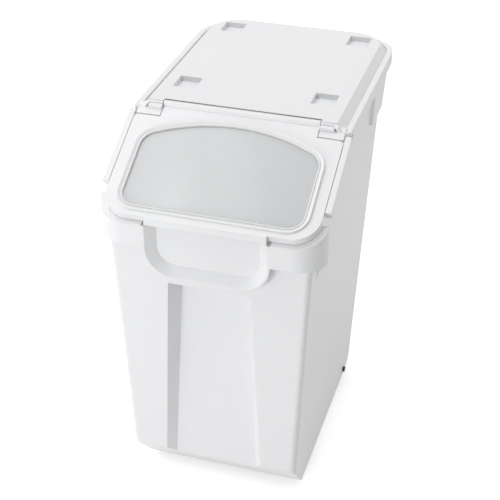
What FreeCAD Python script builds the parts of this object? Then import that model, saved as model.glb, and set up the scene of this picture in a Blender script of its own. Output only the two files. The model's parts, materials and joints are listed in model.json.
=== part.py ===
import FreeCAD, Part
import math
import os

Vector = FreeCAD.Vector
X_AXIS = Vector(1, 0, 0)

# A rolling rice container. Millimetres, floor at z = 0, front towards -Y.
# Depths are measured backwards from the front edge of the flap's pull lip.

# Overall size
overall_depth = 430.0
lid_width = 270.0
lid_top_height = 504.0

# Tub
tub_ground_gap = 12.0
tub_wall = 2.8
tub_floor = 3.6
tub_rim_inset = 6.2
tub_side_taper = 21.8
front_setback_bottom = 16.4
front_setback_rim = 10.5
rear_depth_bottom = 364.0
rear_depth_rim = 390.0
front_corner_radius = 7.0
rear_corner_radius = 28.0
kick_height = 55.0
kick_depth = 48.0
heel_radius = 55.0
inner_radius_least_share = 0.3

# Recessed front panel
recess_top_below_rim = 159.2
recess_top_width = 102.4
recess_bottom_width = 127.2
recess_top_depth = 22.0
recess_bottom_depth = 11.0
recess_top_splay = 10.0
recess_bottom_splay = 10.0

# Rim flange of the tub, and the flare of its rear end
rim_flange_inset = 4.5
rim_flange_thickness = 3.2
rim_flange_radius = 8.0
flare_rim_inset = 3.5
flare_rim_depth = 426.5
flare_rim_radius = 43.0
flare_foot_depth = 392.0
flare_foot_inset = 5.0
flare_foot_radius = 33.0
flare_height = 62.0
flare_front_depth = 300.0

# Flap hinge and the slope of the mouth
hinge_depth = 145.5
hinge_below_top = 5.0
slope_angle = 27.4
barrel_radius = 4.5
barrel_inset = 37.5
hinge_cut_radius = 6.0
hinge_side_gap = 0.8
pin_radius = 2.0
pin_length = 30.0
pin_running_clearance = 0.05
pin_seat_clearance = 0.02
pin_end_gap = 0.5

# Flap
flap_inset = 5.0
flap_thickness = 3.0
flap_top_above_axis = 0.5
flap_length = 161.7
flap_ear_start = 20.0
flap_corner_radius = 32.0
flap_ear_radius = 6.0
flap_seat_gap = 0.3
flap_skirt_drop = 7.5
flap_skirt_wall = 2.6
flap_skirt_start = 131.0
flap_skirt_gap = 0.5
pull_lip_width = 147.0
pull_lip_drop = 9.4
pull_lip_thickness = 3.0

# Window framed on the flap
window_side_margin = 20.5
window_top = 21.5
window_bottom = 148.0
window_bow_radius = 225.0
window_corner_radius = 23.0
window_foot_radius = 19.0
bead_width = 1.8
bead_height = 0.9
frame_slope_width = 3.5
frame_ridge_width = 1.7
frame_height = 2.2
pane_thickness = 1.5
pane_overlap = 4.0
pane_gap = 0.1

# Seat, rails and collar of the tub round the flap
mouth_side_margin = 16.0
mouth_front = 144.0
mouth_corner_radius = 22.0
ledge_thickness = 3.2
ledge_front = 158.0
rail_width = 7.4
rail_side_gap = 0.6
rail_start = 13.0
rail_end = 120.0
rail_thickness = 9.5
collar_below_rim = 108.2
collar_front_depth = 1.5
collar_back_depth = 34.0
collar_radius = 34.0

# Finger pocket under the pull lip
pocket_width = 155.0
pocket_bottom_below_rim = 146.2
pocket_top_below_rim = 78.2
pocket_front_depth = 1.5
pocket_corner_radius = 38.0
pocket_rim = 3.0
pocket_back_inset = 15.0

# Small slots in the side walls below the collar
slot_length = 9.0
slot_height = 30.0
slot_depth = 2.0
slot_start_depth = 41.0
slot_below_collar = 1.0

# Lid
lid_wall = 2.5
lid_seat_gap = 0.3
plateau_inset = 17.5
plateau_rear_depth = 422.0
plateau_corner_radius = 40.0
brim_drop = 8.0
brim_corner_radius = 46.0
valley_drop = 11.0
valley_inset = 7.5
valley_rear_depth = 426.0
valley_corner_radius = 43.0
skirt_height = 16.0
shoulder_reach = 8.0
shoulder_corner_radius = 3.0
skirt_setback = 6.5
lug_width = 17.5
lug_back_length = 20.0
lug_nose = 9.0
lug_rise = 4.6
lug_below_axis = 6.0
corner_plate_gap = 1.3
stiffener_height = 9.0
stiffener_setback = 9.0

# Stacking pockets in the lid
stack_width = 28.7
stack_length = 31.0
stack_sink = 6.5
stack_inset = 47.0
stack_front_depth = 202.8
stack_spacing_y = 189.3

# Rollers in their wells
roller_radius = 22.0
roller_width = 20.0
roller_inset = 15.5
roller_rear_depth = 302.0
roller_edge_radius = 2.0
roller_dish_depth = 1.5
roller_rim = 4.0
roller_hub_radius = 7.0
well_side_gap = 1.2
well_radial_gap = 2.5
axle_radius = 2.5
axle_length = 26.0
axle_head_radius = 4.0
axle_head_length = 2.5
axle_head_gap = 0.3
axle_running_clearance = 0.05
axle_seat_clearance = 0.02

# Cuts reach this far past the faces they open
overrun = 20.0

# Derived widths: insets are from the lid's sides, margins from the flap's
tub_rim_width = lid_width - 2 * tub_rim_inset
tub_bottom_width = tub_rim_width - 2 * tub_side_taper
rim_flange_width = lid_width - 2 * rim_flange_inset
flare_rim_width = lid_width - 2 * flare_rim_inset
flare_foot_width = lid_width - 2 * flare_foot_inset
barrel_width = lid_width - 2 * barrel_inset
flap_width = lid_width - 2 * flap_inset
window_width = flap_width - 2 * window_side_margin
mouth_width = flap_width - 2 * mouth_side_margin
rail_outer_width = flap_width + 2 * (rail_side_gap + rail_width)
plateau_width = lid_width - 2 * plateau_inset
valley_width = lid_width - 2 * valley_inset
stack_spacing_x = lid_width - 2 * stack_inset
roller_spacing_x = tub_bottom_width - 2 * roller_inset

# Derived heights and places
tub_bottom = tub_ground_gap
brim_height = lid_top_height - brim_drop
valley_height = lid_top_height - valley_drop
rim_height = valley_height - lid_wall - lid_seat_gap
skirt_bottom = brim_height - skirt_height
recess_top_height = rim_height - recess_top_below_rim
collar_height = rim_height - collar_below_rim
pocket_bottom_height = rim_height - pocket_bottom_below_rim
pocket_top_height = rim_height - pocket_top_below_rim
crease_height = tub_bottom + kick_height
hinge_height = lid_top_height - hinge_below_top
shoulder_front_depth = hinge_depth - shoulder_reach
skirt_front_depth = hinge_depth + skirt_setback
seat_offset = flap_top_above_axis - flap_thickness - flap_seat_gap
slope = math.radians(slope_angle)
slope_cos = math.cos(slope)
slope_sin = math.sin(slope)
lip_end = (hinge_depth - flap_top_above_axis * slope_sin) / slope_cos


def y_at(depth):
    return depth - overall_depth / 2


hinge_y = y_at(hinge_depth)


def between(bottom_value, rim_value, height):
    share = (height - tub_bottom) / (rim_height - tub_bottom)
    return bottom_value + (rim_value - bottom_value) * share


def front_wall_depth(height):
    return between(front_setback_bottom, front_setback_rim, height)


def rear_wall_depth(height):
    return between(rear_depth_bottom, rear_depth_rim, height)


def inner_radius(outer, wall):
    return max(outer - wall, outer * inner_radius_least_share)


def outline(half_width, front, rear, front_radius, rear_radius, height):
    """Level outline with four round corners, front and rear given as y."""
    turn = math.sqrt(0.5)
    corners = []
    for side_x, y, radius, y_sign in (
            (half_width, front, front_radius, 1),
            (half_width, rear, rear_radius, -1),
            (-half_width, rear, rear_radius, -1),
            (-half_width, front, front_radius, 1)):
        x_sign = -1 if side_x > 0 else 1
        along_x = Vector(side_x + x_sign * radius, y, height)
        along_y = Vector(side_x, y + y_sign * radius, height)
        centre = Vector(along_x.x, along_y.y, height)
        middle = centre + Vector(-x_sign, -y_sign, 0) * (radius * turn)
        corners.append((along_x, middle, along_y))
    corners[1] = corners[1][::-1]
    corners[3] = corners[3][::-1]
    edges = []
    for k, (start, middle, end) in enumerate(corners):
        edges.append(Part.Arc(start, middle, end).toShape())
        edges.append(Part.LineSegment(end, corners[(k + 1) % len(corners)][0]).toShape())
    return Part.Wire(edges)


def loft(*wires):
    return Part.makeLoft(list(wires), True, True)


def prism(points, half_width):
    """Solid across the part from (y, z) points."""
    corners = [Vector(-half_width, y, z) for y, z in points]
    face = Part.Face(Part.makePolygon(corners + corners[:1]))
    return face.extrude(X_AXIS * (2 * half_width))


def block(x_min, x_max, y_min, y_max, z_min, z_max):
    corner = Vector(x_min, y_min, z_min)
    return Part.makeBox(x_max - x_min, y_max - y_min, z_max - z_min, corner)


def rod(radius, x_min, x_max, y, z):
    return Part.makeCylinder(radius, x_max - x_min, Vector(x_min, y, z), X_AXIS)


def slope_point(down, rise):
    """(y, z) of a place measured down the slope from the hinge axis and out from it."""
    y = hinge_y - down * slope_cos - rise * slope_sin
    z = hinge_height - down * slope_sin + rise * slope_cos
    return y, z


def on_slope(shape):
    """Moves a shape drawn flat, y up the slope and z out of it, to the hinge axis."""
    turn = FreeCAD.Rotation(X_AXIS, slope_angle)
    shape.Placement = FreeCAD.Placement(Vector(0, hinge_y, hinge_height), turn)
    return shape


def both_sides(shape):
    return [shape, shape.mirror(Vector(0, 0, 0), X_AXIS)]


def on_side(shape, side):
    """A shape drawn on the right, or its mirror on the left where side is negative."""
    return both_sides(shape)[0 if side > 0 else 1]


def above_seat(drop):
    """Everything above the plane that the flap lies on, or above one drop lower."""
    half = lid_width
    reach = overall_depth
    low = seat_offset - drop
    return on_slope(block(-half, half, -reach, reach, low, low + reach))


def tub_loft(inset, bottom, top):
    wires = []
    for height in (bottom, top):
        half = between(tub_bottom_width, tub_rim_width, height) / 2 - inset
        wires.append(outline(
            half,
            y_at(front_wall_depth(height) + inset),
            y_at(rear_wall_depth(height) - inset),
            inner_radius(front_corner_radius, inset) if inset else front_corner_radius,
            inner_radius(rear_corner_radius, inset) if inset else rear_corner_radius,
            height))
    return loft(*wires)


def kick_cut(inset):
    """The wedge under the sloping front foot, moved into the tub by inset."""
    length = math.hypot(kick_height, kick_depth)
    shift_y = inset * kick_height / length
    shift_z = inset * kick_depth / length
    start = y_at(front_wall_depth(crease_height)) + shift_y
    crease = crease_height + shift_z
    end = start + kick_depth
    bottom = tub_bottom + shift_z
    fall = overrun * kick_height / kick_depth
    points = [(start - overrun, crease + fall), (end + overrun, bottom - fall)]
    points.append((start - overrun, bottom - fall))
    return prism(points, lid_width)


def heel_cut(inset):
    """What the round rear foot takes off the square corner."""
    centre_y = y_at(rear_wall_depth(tub_bottom + heel_radius)) - heel_radius
    centre_z = tub_bottom + heel_radius
    corner = block(-lid_width, lid_width, centre_y, centre_y + heel_radius + overrun,
                   tub_bottom - overrun, centre_z)
    return corner.cut(rod(heel_radius - inset, -lid_width, lid_width, centre_y, centre_z))


def recess_cut(inset):
    """The tapering panel sunk in the front wall, grown by inset."""
    low = crease_height - kick_height / 2
    share = (low - crease_height) / (recess_top_height - crease_height)
    sections = []
    for place in (share, 1):
        height = crease_height + (recess_top_height - crease_height) * place
        half = recess_bottom_width + (recess_top_width - recess_bottom_width) * place
        half = half / 2 + inset
        depth = recess_bottom_depth + (recess_top_depth - recess_bottom_depth) * place
        splay = recess_bottom_splay + (recess_top_splay - recess_bottom_splay) * place
        wall_y = y_at(front_wall_depth(height))
        if place == 1:
            height = height + inset
        corners = [Vector(-half, wall_y - overrun, height), Vector(half, wall_y - overrun, height),
                   Vector(half, wall_y, height), Vector(half - splay, wall_y + depth + inset, height),
                   Vector(splay - half, wall_y + depth + inset, height), Vector(-half, wall_y, height)]
        sections.append(Part.makePolygon(corners + corners[:1]))
    return loft(*sections)


def roller_places():
    """Name, x and y of the four rollers."""
    places = []
    for y_name, depth in (("front", roller_rear_depth - stack_spacing_y), ("rear", roller_rear_depth)):
        for x_name, side in (("left", -1), ("right", 1)):
            places.append((y_name + "_" + x_name, side * roller_spacing_x / 2, y_at(depth)))
    return places


def well_box(x, y, grow):
    half_x = roller_width / 2 + well_side_gap + grow
    half_y = roller_radius + well_radial_gap + grow
    top = 2 * roller_radius + well_radial_gap + grow
    return block(x - half_x, x + half_x, y - half_y, y + half_y, tub_bottom - overrun, top)


def axle_reach(name):
    """How far an axle reaches outwards from the middle of its roller, without its head."""
    if name.startswith("rear"):
        height = roller_radius + axle_head_radius
        wall = between(tub_bottom_width, tub_rim_width, height) / 2
        return wall + axle_head_gap - roller_spacing_x / 2
    return axle_length / 2


def axle_slot(name, x, y):
    """Snap-in slot for an axle, open at the bottom. At the rear it runs out through the wall."""
    radius = axle_radius + axle_seat_clearance
    start = abs(x) - axle_length / 2 - axle_running_clearance
    end = abs(x) + axle_reach(name) + axle_running_clearance
    slot = rod(radius, start, end, y, roller_radius)
    mouth = block(start, end, y - radius, y + radius, tub_bottom - overrun, roller_radius)
    return on_side(slot.fuse(mouth), x)


def pocket_outline(inset, depth):
    """The finger pocket's D shape, open end up."""
    half = pocket_width / 2 - inset
    low = pocket_bottom_height + inset
    radius = inner_radius(pocket_corner_radius, inset)
    reach = radius * (1 - math.sqrt(0.5))
    y = y_at(depth)
    top = pocket_top_height
    points = [(-half, top), (-half, low + radius), (radius - half, low),
              (half - radius, low), (half, low + radius), (half, top)]
    corners = [Vector(x, y, z) for x, z in points]
    left = Vector(reach - half, y, low + reach)
    right = Vector(half - reach, y, low + reach)
    edges = [Part.LineSegment(corners[0], corners[1]).toShape(),
             Part.Arc(corners[1], left, corners[2]).toShape(),
             Part.LineSegment(corners[2], corners[3]).toShape(),
             Part.Arc(corners[3], right, corners[4]).toShape(),
             Part.LineSegment(corners[4], corners[5]).toShape(),
             Part.LineSegment(corners[5], corners[0]).toShape()]
    return Part.Wire(edges)


def finger_pocket():
    """The pocket's body and the hollow that fingers reach into."""
    wall_depth = front_wall_depth(pocket_bottom_height)
    body = Part.Face(pocket_outline(0, pocket_front_depth))
    body = body.extrude(Vector(0, wall_depth + tub_wall / 2 - pocket_front_depth, 0))
    front_wire = pocket_outline(pocket_rim, pocket_front_depth)
    back_wire = pocket_outline(pocket_back_inset, front_wall_depth(pocket_top_height))
    return body, loft(front_wire, back_wire)


def collar():
    """Band that carries the flap's front corners, left open over the finger pocket."""
    rear = y_at(collar_back_depth)
    band = Part.Face(outline(rail_outer_width / 2, y_at(collar_front_depth), rear + collar_radius,
                             collar_radius, front_corner_radius, collar_height))
    band = band.extrude(Vector(0, 0, rim_height - collar_height))
    half = rail_outer_width
    band = band.cut(block(-half, half, rear, rear + overall_depth, 0, lid_top_height))
    gap = pocket_width / 2
    return band.cut(block(-gap, gap, y_at(-overrun), rear, 0, lid_top_height))


def seat_ledge():
    """Ledge inside the mouth, along the sides and the front."""
    outer = outline(rail_outer_width / 2 - rail_width / 2, -ledge_front, -rail_start,
                    front_corner_radius, front_corner_radius, seat_offset - ledge_thickness)
    inner = outline(mouth_width / 2, -mouth_front, overall_depth, mouth_corner_radius,
                    front_corner_radius, seat_offset - ledge_thickness)
    rise = Vector(0, 0, ledge_thickness)
    return on_slope(Part.Face(outer).extrude(rise).cut(Part.Face(inner).extrude(rise)))


def rails():
    outer = rail_outer_width / 2
    bar = block(outer - rail_width, outer, -rail_end, -rail_start,
                flap_top_above_axis - rail_thickness, flap_top_above_axis)
    foot = block(mouth_width / 2, outer, -rail_end, -rail_start, seat_offset - ledge_thickness, seat_offset)
    return both_sides(on_slope(bar.fuse(foot)))


def rim_flange():
    """Narrow flange round the rim, under the lid."""
    wire = outline(rim_flange_width / 2, hinge_y, y_at(rear_depth_rim), rim_flange_radius,
                   rear_corner_radius, rim_height - rim_flange_thickness)
    return Part.Face(wire).extrude(Vector(0, 0, rim_flange_thickness))


def rear_flare(inset):
    """Wider rear end of the rim, leaning out as it rises, or its inside."""
    front = y_at(flare_front_depth) + inset
    foot = outline(flare_foot_width / 2 - inset, front, y_at(flare_foot_depth) - inset,
                   front_corner_radius, inner_radius(flare_foot_radius, inset), rim_height - flare_height)
    rim = outline(flare_rim_width / 2 - inset, front, y_at(flare_rim_depth) - inset,
                  front_corner_radius, inner_radius(flare_rim_radius, inset), rim_height)
    flare = loft(foot, rim)
    if inset:
        low = rim_height - flare_height + inset
        flare = flare.cut(block(-lid_width, lid_width, front - overrun, y_at(overall_depth), 0, low))
    return flare


def skirt_room():
    """Room round the front corners for the flap's turned-down edge."""
    inset = flap_skirt_wall + flap_skirt_gap
    low = seat_offset - flap_skirt_drop
    reach = overall_depth
    around = block(-lid_width, lid_width, -reach, flap_skirt_gap - flap_skirt_start, low, reach)
    inside = Part.Face(outline(flap_width / 2 - inset, inset - flap_length, reach,
                               inner_radius(flap_corner_radius, inset), front_corner_radius, low))
    return on_slope(around.cut(inside.extrude(Vector(0, 0, reach))))


def side_slots():
    top = collar_height - slot_below_collar
    half = between(tub_bottom_width, tub_rim_width, top) / 2
    start = y_at(slot_start_depth)
    cut = block(half - slot_depth, half + overrun, start, start + slot_length, top - slot_height, top)
    return both_sides(cut)


def make_tub():
    outside = tub_loft(0, tub_bottom, rim_height)
    shell = outside.cut([kick_cut(0), heel_cut(0), recess_cut(0)])
    pocket_body, pocket_hollow = finger_pocket()
    low_seat = above_seat(flap_skirt_drop)
    shell = shell.fuse([rim_flange(), rear_flare(0)]).cut(above_seat(0))
    shell = shell.fuse([collar().cut(low_seat), pocket_body.cut(low_seat)])
    cavity = tub_loft(tub_wall, tub_bottom + tub_floor, rim_height + overrun)
    cavity = cavity.cut([kick_cut(tub_floor), heel_cut(tub_floor), recess_cut(tub_wall)])
    wells = []
    for name, x, y in roller_places():
        cavity = cavity.cut(well_box(x, y, tub_wall))
        wells.append(well_box(x, y, 0))
        wells.append(axle_slot(name, x, y))
    shell = shell.cut([cavity, rear_flare(tub_wall)])
    ledge = seat_ledge().common(tub_loft(tub_wall / 2, tub_bottom, rim_height))
    shell = shell.fuse([ledge] + rails())
    shell = shell.cut(wells + [pocket_hollow, skirt_room()] + side_slots())
    return shell.removeSplitter()


def window_outline(grow, height):
    """Window outline drawn flat: straight sides and foot, bowed head, round corners."""
    half = window_width / 2 + grow
    head = -window_top + grow
    foot = -window_bottom - grow
    bow = window_bow_radius + grow
    corner = window_corner_radius + grow
    toe = window_foot_radius + grow
    bow_y = head - bow
    corner_x = half - corner
    corner_y = bow_y + math.sqrt((bow - corner) ** 2 - corner_x ** 2)
    lean = math.atan2(corner_y - bow_y, corner_x)
    middle = lean / 2
    reach = toe * (1 - math.sqrt(0.5))

    def at(x, y):
        return Vector(x, y, height)

    def on_corner(angle, side):
        x = corner_x + corner * math.cos(angle)
        return at(side * x, corner_y + corner * math.sin(angle))

    edges = [Part.LineSegment(at(toe - half, foot), at(half - toe, foot)).toShape(),
             Part.Arc(at(half - toe, foot), at(half - reach, foot + reach), at(half, foot + toe)).toShape(),
             Part.LineSegment(at(half, foot + toe), on_corner(0, 1)).toShape(),
             Part.Arc(on_corner(0, 1), on_corner(middle, 1), on_corner(lean, 1)).toShape(),
             Part.Arc(on_corner(lean, 1), at(0, head), on_corner(lean, -1)).toShape(),
             Part.Arc(on_corner(lean, -1), on_corner(middle, -1), on_corner(0, -1)).toShape(),
             Part.LineSegment(on_corner(0, -1), at(-half, foot + toe)).toShape(),
             Part.Arc(at(-half, foot + toe), at(reach - half, foot + reach), at(toe - half, foot)).toShape()]
    return Part.Wire(edges)


def flap_plate():
    """Flat sheet of the flap with its barrel, drawn flat round the hinge axis."""
    under = flap_top_above_axis - flap_thickness
    rise = Vector(0, 0, flap_thickness)
    sheet = Part.Face(outline(flap_width / 2, -flap_length, -flap_ear_start, flap_corner_radius,
                              flap_ear_radius, under)).extrude(rise)
    half = barrel_width / 2
    neck = block(-half, half, -flap_ear_start - flap_ear_radius, 0, under, flap_top_above_axis)
    barrel = rod(barrel_radius, -half, half, 0, 0)
    lip_half = pull_lip_width / 2
    lip = block(-lip_half, lip_half, -lip_end, -flap_length + flap_thickness, under, flap_top_above_axis)
    return sheet.fuse([neck, barrel, lip])


def flap_skirt():
    """Edge turned down round the front corners, drawn flat like the plate."""
    low = flap_top_above_axis - flap_thickness - flap_skirt_drop
    rise = Vector(0, 0, flap_skirt_drop + flap_thickness / 2)
    wall = flap_skirt_wall
    rings = []
    for inset in (0, wall):
        wire = outline(flap_width / 2 - inset, inset - flap_length, -flap_ear_start,
                       inner_radius(flap_corner_radius, inset), flap_ear_radius, low)
        rings.append(Part.Face(wire).extrude(rise))
    behind = block(-flap_width, flap_width, -flap_skirt_start, overrun, low, rise.z)
    return rings[0].cut([rings[1], behind])


def window_frame():
    """Raised frame with a sloping inside and a fine bead round the pane."""
    base = flap_top_above_axis
    top = base + frame_height
    slope_end = bead_width + frame_slope_width
    frame = Part.Face(window_outline(slope_end + frame_ridge_width, base))
    frame = frame.extrude(Vector(0, 0, frame_height))
    frame = frame.cut(loft(window_outline(bead_width, base), window_outline(slope_end, top)))
    bead = Part.Face(window_outline(bead_width, base)).extrude(Vector(0, 0, bead_height))
    return frame.fuse(bead)


def window_opening():
    """Opening in the flap and the rebate that the pane is bonded into, drawn flat."""
    under = flap_top_above_axis - flap_thickness
    opening = Part.Face(window_outline(0, under)).extrude(Vector(0, 0, flap_thickness + overrun))
    rebate = Part.Face(window_outline(pane_overlap + pane_gap, under))
    return opening.fuse(rebate.extrude(Vector(0, 0, pane_thickness)))


def pull_lip():
    """Lip that turns down over the finger pocket."""
    top_y, top_z = slope_point(lip_end, flap_top_above_axis)
    back_y = top_y + pull_lip_thickness
    back_z = top_z + pull_lip_thickness * slope_sin / slope_cos
    low = top_z - pull_lip_drop
    return prism([(top_y, top_z), (top_y, low), (back_y, low), (back_y, back_z)], pull_lip_width / 2)


def pin_start():
    """Inner end of the right hinge pin."""
    return barrel_width / 2 + hinge_side_gap + lug_width - pin_end_gap * 2 - pin_length


def make_flap():
    flap = flap_plate().fuse([window_frame(), flap_skirt()]).cut(window_opening())
    flap = on_slope(flap).fuse(pull_lip())
    bore_start = pin_start() - pin_end_gap
    bore = rod(pin_radius + pin_running_clearance, bore_start, barrel_width, hinge_y, hinge_height)
    return flap.cut(both_sides(bore)).removeSplitter()


def make_window():
    under = flap_top_above_axis - flap_thickness
    pane = Part.Face(window_outline(pane_overlap, under)).extrude(Vector(0, 0, pane_thickness))
    return on_slope(pane)


def lid_shell(inset):
    """Plateau, valley, raised brim and skirt, moved in and down by inset."""
    front = y_at(shoulder_front_depth) - inset

    def ring(width, rear, radius, height):
        return outline(width / 2 - inset, front, y_at(rear) - inset, shoulder_corner_radius,
                       inner_radius(radius, inset), height)

    plateau = ring(plateau_width, plateau_rear_depth, plateau_corner_radius, lid_top_height - inset)
    valley = ring(valley_width, valley_rear_depth, valley_corner_radius, valley_height - inset)
    low = skirt_bottom - (overrun if inset else 0)
    top = valley_height - inset if inset else brim_height
    skirt = Part.Face(ring(lid_width, overall_depth, brim_corner_radius, low))
    skirt = skirt.extrude(Vector(0, 0, top - low))
    if not inset:
        skirt = skirt.cut(Part.Face(valley).extrude(Vector(0, 0, brim_height)))
    return loft(valley, plateau).fuse(skirt)


def hinge_lugs():
    """Ears of the lid that hold the hinge pins, with plates that close the flap's corners."""
    back = hinge_y + lug_back_length
    nose_top = slope_point(lug_nose, lug_rise)
    nose_low = slope_point(lug_nose, -lug_below_axis)
    points = [(back, lid_top_height - lid_wall / 2), (hinge_y, lid_top_height - lid_wall / 2), nose_top,
              nose_low, (hinge_y, hinge_height - lug_below_axis), (back, lid_top_height - lid_wall)]
    start = barrel_width / 2 + hinge_side_gap
    corners = [Vector(start, y, z) for y, z in points]
    lug = Part.Face(Part.makePolygon(corners + corners[:1])).extrude(X_AXIS * lug_width)
    plate = block(start, flap_width / 2 - corner_plate_gap, corner_plate_gap - flap_ear_start, 0,
                  flap_top_above_axis - flap_thickness, flap_top_above_axis)
    return both_sides(lug.fuse(on_slope(plate)))


def stack_boxes(grow):
    """Four stacking pockets, grown by the lid's wall for their cups."""
    boxes = []
    top = lid_top_height - lid_wall / 2 if grow else lid_top_height + overrun
    for side in (-1, 1):
        for row in (0, 1):
            x = side * stack_spacing_x / 2
            y = y_at(stack_front_depth + row * stack_spacing_y)
            half_x = stack_width / 2 + grow
            half_y = stack_length / 2 + grow
            boxes.append(block(x - half_x, x + half_x, y - half_y, y + half_y,
                               lid_top_height - stack_sink - grow, top))
    return boxes


def make_lid():
    lid = lid_shell(0).cut(lid_shell(lid_wall))
    half = barrel_width / 2 + hinge_side_gap
    front = y_at(shoulder_front_depth) - overrun
    lid = lid.cut(block(-lid_width, lid_width, front, y_at(skirt_front_depth),
                        0, valley_height - lid_wall))
    lid = lid.cut(block(-half, half, front, hinge_y, 0, lid_top_height + overrun))
    nose = on_slope(block(-lid_width, lid_width, -lug_nose - overrun, 0, lug_rise, lug_rise + overrun))
    lid = lid.cut(nose)
    rib_y = hinge_y + stiffener_setback
    rib = block(-half, half, rib_y, rib_y + lid_wall, lid_top_height - stiffener_height,
                lid_top_height - lid_wall / 2)
    lid = lid.fuse(hinge_lugs() + [rib] + stack_boxes(lid_wall))
    lid = lid.cut(rod(hinge_cut_radius, -half, half, hinge_y, hinge_height))
    seat = rod(pin_radius + pin_seat_clearance, half - overrun,
               pin_start() + pin_length + pin_end_gap, hinge_y, hinge_height)
    return lid.cut(stack_boxes(0) + both_sides(seat)).removeSplitter()


def make_pin(side):
    start = pin_start()
    pin = rod(pin_radius, start, start + pin_length, hinge_y, hinge_height)
    return on_side(pin, side)


def make_roller(x, y):
    half = roller_width / 2
    wheel = rod(roller_radius, x - half, x + half, y, roller_radius)
    rims = [edge for edge in wheel.Edges if edge.Closed]
    wheel = wheel.makeFillet(roller_edge_radius, rims)
    for start in (x - half, x + half - roller_dish_depth):
        dish = rod(roller_radius - roller_rim, start, start + roller_dish_depth, y, roller_radius)
        hub = rod(roller_hub_radius, start, start + roller_dish_depth, y, roller_radius)
        wheel = wheel.cut(dish.cut(hub))
    bore = rod(axle_radius + axle_running_clearance, x - roller_width, x + roller_width, y, roller_radius)
    return wheel.cut(bore)


def make_axle(name, x, y):
    start = abs(x) - axle_length / 2
    end = abs(x) + axle_reach(name)
    axle = rod(axle_radius, start, end, y, roller_radius)
    if name.startswith("rear"):
        axle = axle.fuse(rod(axle_head_radius, end, end + axle_head_length, y, roller_radius))
    return on_side(axle, x)


def build():
    nodes = {
        "tub": make_tub(),
        "rear_lid": make_lid(),
        "flap_frame": make_flap(),
        "flap_window": make_window(),
        "left_hinge_pin": make_pin(-1),
        "right_hinge_pin": make_pin(1),
    }
    for name, x, y in roller_places():
        nodes[name + "_roller"] = make_roller(x, y)
        nodes[name + "_axle"] = make_axle(name, x, y)
    return nodes


os.makedirs("parts", exist_ok=True)
for node_name, node_shape in build().items():
    node_shape.exportStep(os.path.join("parts", node_name + ".step"))
    print(node_name, node_shape.isValid(), len(node_shape.Solids), round(node_shape.Volume))
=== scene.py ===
import json
import math

import bpy
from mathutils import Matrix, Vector

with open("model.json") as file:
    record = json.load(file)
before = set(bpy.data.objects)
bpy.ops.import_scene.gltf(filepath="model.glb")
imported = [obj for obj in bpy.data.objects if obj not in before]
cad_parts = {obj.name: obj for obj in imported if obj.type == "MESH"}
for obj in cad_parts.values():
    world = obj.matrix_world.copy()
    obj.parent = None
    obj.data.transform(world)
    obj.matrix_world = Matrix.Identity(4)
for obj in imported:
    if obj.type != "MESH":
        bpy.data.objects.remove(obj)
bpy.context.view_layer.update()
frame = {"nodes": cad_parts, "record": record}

# Camera, metres and degrees in the part's frame, for a square image
CAMERA_TARGET = Vector((0.0, -0.0354, 0.2857))
CAMERA_DISTANCE = 1.5753
CAMERA_AZIMUTH = 16.90
CAMERA_ELEVATION = 32.32
CAMERA_LENS = 86.4
SENSOR_WIDTH = 36.0

# Edges sharper than this stay crisp, and all edges are softened by this radius
CREASE_ANGLE = 32.0
EDGE_RADIUS = 0.0012
EDGE_SAMPLES = 6

# Colours
WHITE = (0.80, 0.805, 0.815, 1)
CLEAR = (0.80, 0.81, 0.82, 1)
BLACK = (0.012, 0.012, 0.013, 1)
STEEL = (0.55, 0.55, 0.57, 1)
CLEAR_ALPHA = 0.5
WHITE_SPECULAR = 0.4
STUDIO_WHITE = (1, 1, 1, 1)

# Surface detail: noise per metre, depth in metres
CLOUD_SCALE = 9
GLOSS_SCALE = 120
SKIN_SCALE = 1400
SKIN_DEPTH = 0.0002
DRAWN_STRETCH = 30
# Share by which the clouds darken the colour
WHITE_CLOUD = 0.015
CLEAR_CLOUD = 0.02
BLACK_CLOUD = 0.3
STEEL_CLOUD = 0.08
# Least and most roughness
WHITE_ROUGHNESS = (0.36, 0.46)
CLEAR_ROUGHNESS = (0.08, 0.2)
BLACK_ROUGHNESS = (0.42, 0.6)
STEEL_ROUGHNESS = (0.2, 0.45)
# Strength of the fine texture
WHITE_SKIN = 0.12
BLACK_SKIN = 0.3

# Light
WORLD_STRENGTH = 0.49
FLOOR_GLOW = 0.57
FLOOR_SIZE = 12.0
FLOOR_COLOUR = (0.75, 0.75, 0.75, 1)
# Each lamp's name, place, size and power
LAMPS = (
    ("key", (-1.2, -0.4, 2.6), 1.6, 24.0),
    ("top", (-0.2, 0.9, 2.4), 1.8, 7.5),
    ("right_top", (1.3, 0.6, 2.0), 1.2, 6.5),
    ("left_edge", (-1.5, -1.0, 0.35), 0.6, 1.5),
    ("front", (-0.8, -1.65, 0.25), 0.7, 12.5),
)
LAMP_AIM = Vector((0.0, 0.0, 0.25))
# Stands in for the light that comes through the thin walls of the tub
INNER_LIGHT_PLACE = Vector((-0.05, -0.02, 0.30))
INNER_LIGHT_RADIUS = 0.06
INNER_LIGHT_POWER = 0.15


def new_material(name):
    """A material with one plain shader, and that shader."""
    material = bpy.data.materials.new(name)
    material.use_nodes = True
    return material, material.node_tree.nodes["Principled BSDF"]


def noise(tree, scale, stretch=1):
    """Even noise over the object, drawn out along X by stretch."""
    place = tree.nodes.new("ShaderNodeTexCoord")
    mapping = tree.nodes.new("ShaderNodeMapping")
    mapping.inputs["Scale"].default_value = (1 / stretch, 1, 1)
    texture = tree.nodes.new("ShaderNodeTexNoise")
    texture.inputs["Scale"].default_value = scale
    tree.links.new(place.outputs["Object"], mapping.inputs["Vector"])
    tree.links.new(mapping.outputs["Vector"], texture.inputs["Vector"])
    return texture.outputs["Fac"]


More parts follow.
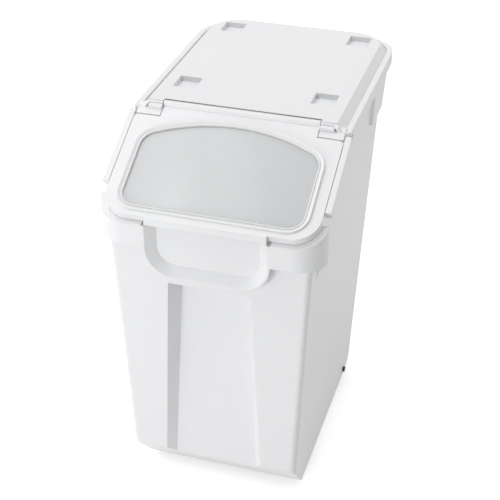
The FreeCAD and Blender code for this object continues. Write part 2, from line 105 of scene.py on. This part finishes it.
def vary_colour(tree, shader, colour, share):
    """Cloudy change between the colour and a slightly darker one."""
    mix = tree.nodes.new("ShaderNodeMix")
    mix.data_type = "RGBA"
    mix.inputs["A"].default_value = colour
    mix.inputs["B"].default_value = [level * (1 - share) for level in colour[:3]] + [1]
    tree.links.new(noise(tree, CLOUD_SCALE), mix.inputs["Factor"])
    tree.links.new(mix.outputs["Result"], shader.inputs["Base Color"])


def vary_gloss(tree, shader, roughness, stretch=1):
    """Slight unevenness in the gloss."""
    spread = tree.nodes.new("ShaderNodeMapRange")
    spread.inputs["To Min"].default_value = roughness[0]
    spread.inputs["To Max"].default_value = roughness[1]
    tree.links.new(noise(tree, GLOSS_SCALE, stretch), spread.inputs["Value"])
    tree.links.new(spread.outputs["Result"], shader.inputs["Roughness"])


def moulded_skin(tree, shader, strength):
    """Soft edges and the fine texture that a mould leaves."""
    edge = tree.nodes.new("ShaderNodeBevel")
    edge.samples = EDGE_SAMPLES
    edge.inputs["Radius"].default_value = EDGE_RADIUS
    bump = tree.nodes.new("ShaderNodeBump")
    bump.inputs["Strength"].default_value = strength
    bump.inputs["Distance"].default_value = SKIN_DEPTH
    tree.links.new(noise(tree, SKIN_SCALE), bump.inputs["Height"])
    tree.links.new(edge.outputs["Normal"], bump.inputs["Normal"])
    tree.links.new(bump.outputs["Normal"], shader.inputs["Normal"])


def white_plastic():
    material, shader = new_material("white_moulding")
    shader.inputs["Specular IOR Level"].default_value = WHITE_SPECULAR
    vary_colour(material.node_tree, shader, WHITE, WHITE_CLOUD)
    vary_gloss(material.node_tree, shader, WHITE_ROUGHNESS)
    moulded_skin(material.node_tree, shader, WHITE_SKIN)
    return material


def clear_plastic():
    material, shader = new_material("clear_sheet")
    shader.inputs["Alpha"].default_value = CLEAR_ALPHA
    vary_colour(material.node_tree, shader, CLEAR, CLEAR_CLOUD)
    vary_gloss(material.node_tree, shader, CLEAR_ROUGHNESS)
    return material


def black_plastic():
    material, shader = new_material("black_moulding")
    vary_colour(material.node_tree, shader, BLACK, BLACK_CLOUD)
    vary_gloss(material.node_tree, shader, BLACK_ROUGHNESS)
    moulded_skin(material.node_tree, shader, BLACK_SKIN)
    return material


def bright_steel():
    material, shader = new_material("drawn_steel")
    shader.inputs["Metallic"].default_value = 1
    vary_colour(material.node_tree, shader, STEEL, STEEL_CLOUD)
    vary_gloss(material.node_tree, shader, STEEL_ROUGHNESS, stretch=DRAWN_STRETCH)
    return material


def dress_nodes():
    """Gives each CAD node the material of its slot, with smooth round faces."""
    makers = {"white_plastic": white_plastic, "clear_plastic": clear_plastic,
              "black_plastic": black_plastic, "steel": bright_steel}
    materials = {slot: make() for slot, make in makers.items()}
    slots = {part["node"]: part["material_slot"] for part in frame["record"]["subparts"]}
    for name, node in frame["nodes"].items():
        node.data.materials.clear()
        node.data.materials.append(materials[slots[name]])
        for face in node.data.polygons:
            face.use_smooth = True
        node.data.set_sharp_from_angle(angle=math.radians(CREASE_ANGLE))


def studio_rays(tree):
    """1 for the rays that show the studio: to the camera, or by way of gloss or glass."""
    path = tree.nodes.new("ShaderNodeLightPath")
    seen = path.outputs["Is Camera Ray"]
    for kind in ("Is Glossy Ray", "Is Transmission Ray"):
        either = tree.nodes.new("ShaderNodeMath")
        either.operation = "MAXIMUM"
        tree.links.new(seen, either.inputs[0])
        tree.links.new(path.outputs[kind], either.inputs[1])
        seen = either.outputs["Value"]
    return seen


def make_floor():
    """Pale floor that keeps the shadow but is near white where it is seen."""
    bpy.ops.mesh.primitive_plane_add(size=FLOOR_SIZE)
    floor = bpy.context.object
    floor.name = "floor"
    material = bpy.data.materials.new("studio_floor")
    material.use_nodes = True
    tree = material.node_tree
    tree.nodes.clear()
    output = tree.nodes.new("ShaderNodeOutputMaterial")
    matt = tree.nodes.new("ShaderNodeBsdfDiffuse")
    matt.inputs["Color"].default_value = FLOOR_COLOUR
    glow = tree.nodes.new("ShaderNodeEmission")
    glow.inputs["Color"].default_value = STUDIO_WHITE
    both = tree.nodes.new("ShaderNodeAddShader")
    strength = tree.nodes.new("ShaderNodeMath")
    strength.operation = "MULTIPLY"
    strength.inputs[1].default_value = FLOOR_GLOW
    tree.links.new(studio_rays(tree), strength.inputs[0])
    tree.links.new(strength.outputs["Value"], glow.inputs["Strength"])
    tree.links.new(matt.outputs["BSDF"], both.inputs[0])
    tree.links.new(glow.outputs["Emission"], both.inputs[1])
    tree.links.new(both.outputs["Shader"], output.inputs["Surface"])
    floor.data.materials.append(material)


def make_world():
    """White where it is seen, softer as a light."""
    world = bpy.data.worlds.new("studio")
    bpy.context.scene.world = world
    world.use_nodes = True
    tree = world.node_tree
    tree.nodes.clear()
    output = tree.nodes.new("ShaderNodeOutputWorld")
    dim = tree.nodes.new("ShaderNodeBackground")
    dim.inputs["Color"].default_value = STUDIO_WHITE
    dim.inputs["Strength"].default_value = WORLD_STRENGTH
    bright = tree.nodes.new("ShaderNodeBackground")
    bright.inputs["Color"].default_value = STUDIO_WHITE
    mix = tree.nodes.new("ShaderNodeMixShader")
    tree.links.new(studio_rays(tree), mix.inputs["Fac"])
    tree.links.new(dim.outputs["Background"], mix.inputs[1])
    tree.links.new(bright.outputs["Background"], mix.inputs[2])
    tree.links.new(mix.outputs["Shader"], output.inputs["Surface"])


def make_lamps():
    for name, place, size, power in LAMPS:
        data = bpy.data.lights.new(name, "AREA")
        data.size = size
        data.energy = power
        lamp = bpy.data.objects.new(name, data)
        bpy.context.scene.collection.objects.link(lamp)
        lamp.location = place
        lamp.rotation_euler = (LAMP_AIM - Vector(place)).to_track_quat("-Z", "Y").to_euler()


def make_inner_light():
    data = bpy.data.lights.new("inner_light", "POINT")
    data.shadow_soft_size = INNER_LIGHT_RADIUS
    data.energy = INNER_LIGHT_POWER
    lamp = bpy.data.objects.new("inner_light", data)
    bpy.context.scene.collection.objects.link(lamp)
    lamp.location = INNER_LIGHT_PLACE


def make_camera():
    azimuth = math.radians(CAMERA_AZIMUTH)
    elevation = math.radians(CAMERA_ELEVATION)
    level = math.cos(elevation)
    back = Vector((math.sin(azimuth) * level, -math.cos(azimuth) * level, math.sin(elevation)))
    data = bpy.data.cameras.new("photo_camera")
    data.lens = CAMERA_LENS
    data.sensor_width = SENSOR_WIDTH
    camera = bpy.data.objects.new("photo_camera", data)
    bpy.context.scene.collection.objects.link(camera)
    camera.location = CAMERA_TARGET + back * CAMERA_DISTANCE
    camera.rotation_euler = (-back).to_track_quat("-Z", "Y").to_euler()
    bpy.context.scene.camera = camera


make_camera()
dress_nodes()
make_floor()
make_world()
make_lamps()
make_inner_light()
bpy.context.scene.view_settings.view_transform = "Standard"
